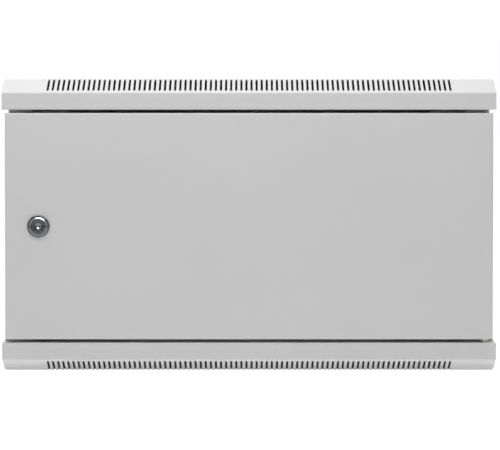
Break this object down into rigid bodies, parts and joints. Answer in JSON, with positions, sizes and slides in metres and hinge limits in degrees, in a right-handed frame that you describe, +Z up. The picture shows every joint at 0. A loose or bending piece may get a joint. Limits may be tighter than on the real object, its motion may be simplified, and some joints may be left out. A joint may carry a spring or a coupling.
{
  "type": "rack cabinet",
  "caption": "Low wall-type rack cabinet with slotted sloped covers, a solid lockable door, lift-off side panels and depth-adjustable 19-inch rails",
  "frame": {"origin": "centre of the flat underside of the bottom cover", "axes": "+X to the right seen from the front, +Y to the back, +Z up; the door faces -Y"},
  "size_m": [0.6, 0.4534, 0.357],
  "materials": {
    "panel_coat": "fine powder coat, light grey",
    "frame_coat": "powder coat, light grey",
    "rail_zinc": "zinc-plated sheet",
    "fastener_zinc": "bright zinc plating",
    "lock_chrome": "dark chrome plating",
    "spring_steel": "drawn spring steel",
    "nylon": "natural nylon"
  },
  "bodies": {
    "cabinet": {"bottom_cover": "panel_coat", "top_cover": "panel_coat", "rear_panel": "panel_coat", "rear_panel_screws": "fastener_zinc", "bottom_cable_cover": "panel_coat", "top_cable_cover": "panel_coat", "bottom_cable_screws": "fastener_zinc", "top_cable_screws": "fastener_zinc", "front_post_left": "frame_coat", "front_post_right": "frame_coat", "rear_post_left": "frame_coat", "rear_post_right": "frame_coat", "depth_rail_lower_left": "frame_coat", "depth_rail_lower_right": "frame_coat", "depth_rail_upper_left": "frame_coat", "depth_rail_upper_right": "frame_coat", "side_sill_left": "frame_coat", "side_sill_right": "frame_coat", "side_header_left": "frame_coat", "side_header_right": "frame_coat", "lower_hinge_pin": "fastener_zinc", "hinge_washer": "nylon", "earth_stud": "fastener_zinc", "earth_nut": "fastener_zinc"},
    "door": {"door_panel": "panel_coat", "door_stiffener": "frame_coat", "door_lock_housing": "lock_chrome", "door_lock_nut": "fastener_zinc", "upper_hinge_bracket": "frame_coat", "lower_hinge_bush": "nylon", "door_earth_stud": "fastener_zinc", "hinge_spring": "spring_steel"},
    "door_lock": {"door_lock_plug": "lock_chrome", "door_lock_cam": "fastener_zinc", "door_lock_screw": "fastener_zinc"},
    "hinge_pin": {"upper_hinge_pin": "fastener_zinc"},
    "left_panel": {"side_panel_left": "panel_coat", "left_lock_housing": "lock_chrome", "left_lock_nut": "fastener_zinc"},
    "left_lock": {"left_lock_plug": "lock_chrome", "left_lock_cam": "fastener_zinc", "left_lock_screw": "fastener_zinc"},
    "right_panel": {"side_panel_right": "panel_coat", "right_lock_housing": "lock_chrome", "right_lock_nut": "fastener_zinc"},
    "right_lock": {"right_lock_plug": "lock_chrome", "right_lock_cam": "fastener_zinc", "right_lock_screw": "fastener_zinc"},
    "front_rails": {"front_rail_left": "rail_zinc", "front_rail_right": "rail_zinc", "front_rail_bolts": "fastener_zinc", "front_rail_nuts": "fastener_zinc", "cage_nut_cages": "spring_steel", "cage_nuts": "fastener_zinc"},
    "rear_rails": {"rear_rail_left": "rail_zinc", "rear_rail_right": "rail_zinc", "rear_rail_bolts": "fastener_zinc", "rear_rail_nuts": "fastener_zinc"}
  },
  "joints": [
    {"name": "door_hinge", "type": "hinge", "parent": "cabinet", "child": "door", "pos_m": [0.2875, -0.216, 0.1785], "axis": [0, 0, 1], "range_deg": [0, 180]},
    {"name": "door_lock_turn", "type": "hinge", "parent": "door", "child": "door_lock", "pos_m": [-0.2555, -0.225, 0.1785], "axis": [0, 1, 0], "range_deg": [0, 90]},
    {"name": "hinge_pin_retract", "type": "slide", "parent": "door", "child": "hinge_pin", "axis": [0, 0, 1], "range_m": [-0.008, 0], "stiffness_N_per_m": 300, "springref_m": 0.01, "deforming": ["hinge_spring"]},
    {"name": "left_panel_tilt", "type": "hinge", "parent": "cabinet", "child": "left_panel", "pos_m": [-0.2955, 0.01175, 0.039], "axis": [0, -1, 0], "range_deg": [0, 35]},
    {"name": "right_panel_tilt", "type": "hinge", "parent": "cabinet", "child": "right_panel", "pos_m": [0.2955, 0.01175, 0.039], "axis": [0, 1, 0], "range_deg": [0, 35]},
    {"name": "left_lock_turn", "type": "hinge", "parent": "left_panel", "child": "left_lock", "pos_m": [-0.2955, 0.01175, 0.296], "axis": [-1, 0, 0], "range_deg": [0, 90]},
    {"name": "right_lock_turn", "type": "hinge", "parent": "right_panel", "child": "right_lock", "pos_m": [0.2955, 0.01175, 0.296], "axis": [-1, 0, 0], "range_deg": [0, 90]},
    {"name": "front_rails_depth", "type": "slide", "parent": "cabinet", "child": "front_rails", "axis": [0, 1, 0], "range_m": [0, 0.06]},
    {"name": "rear_rails_depth", "type": "slide", "parent": "cabinet", "child": "rear_rails", "axis": [0, -1, 0], "range_m": [0, 0.06]}
  ]
}
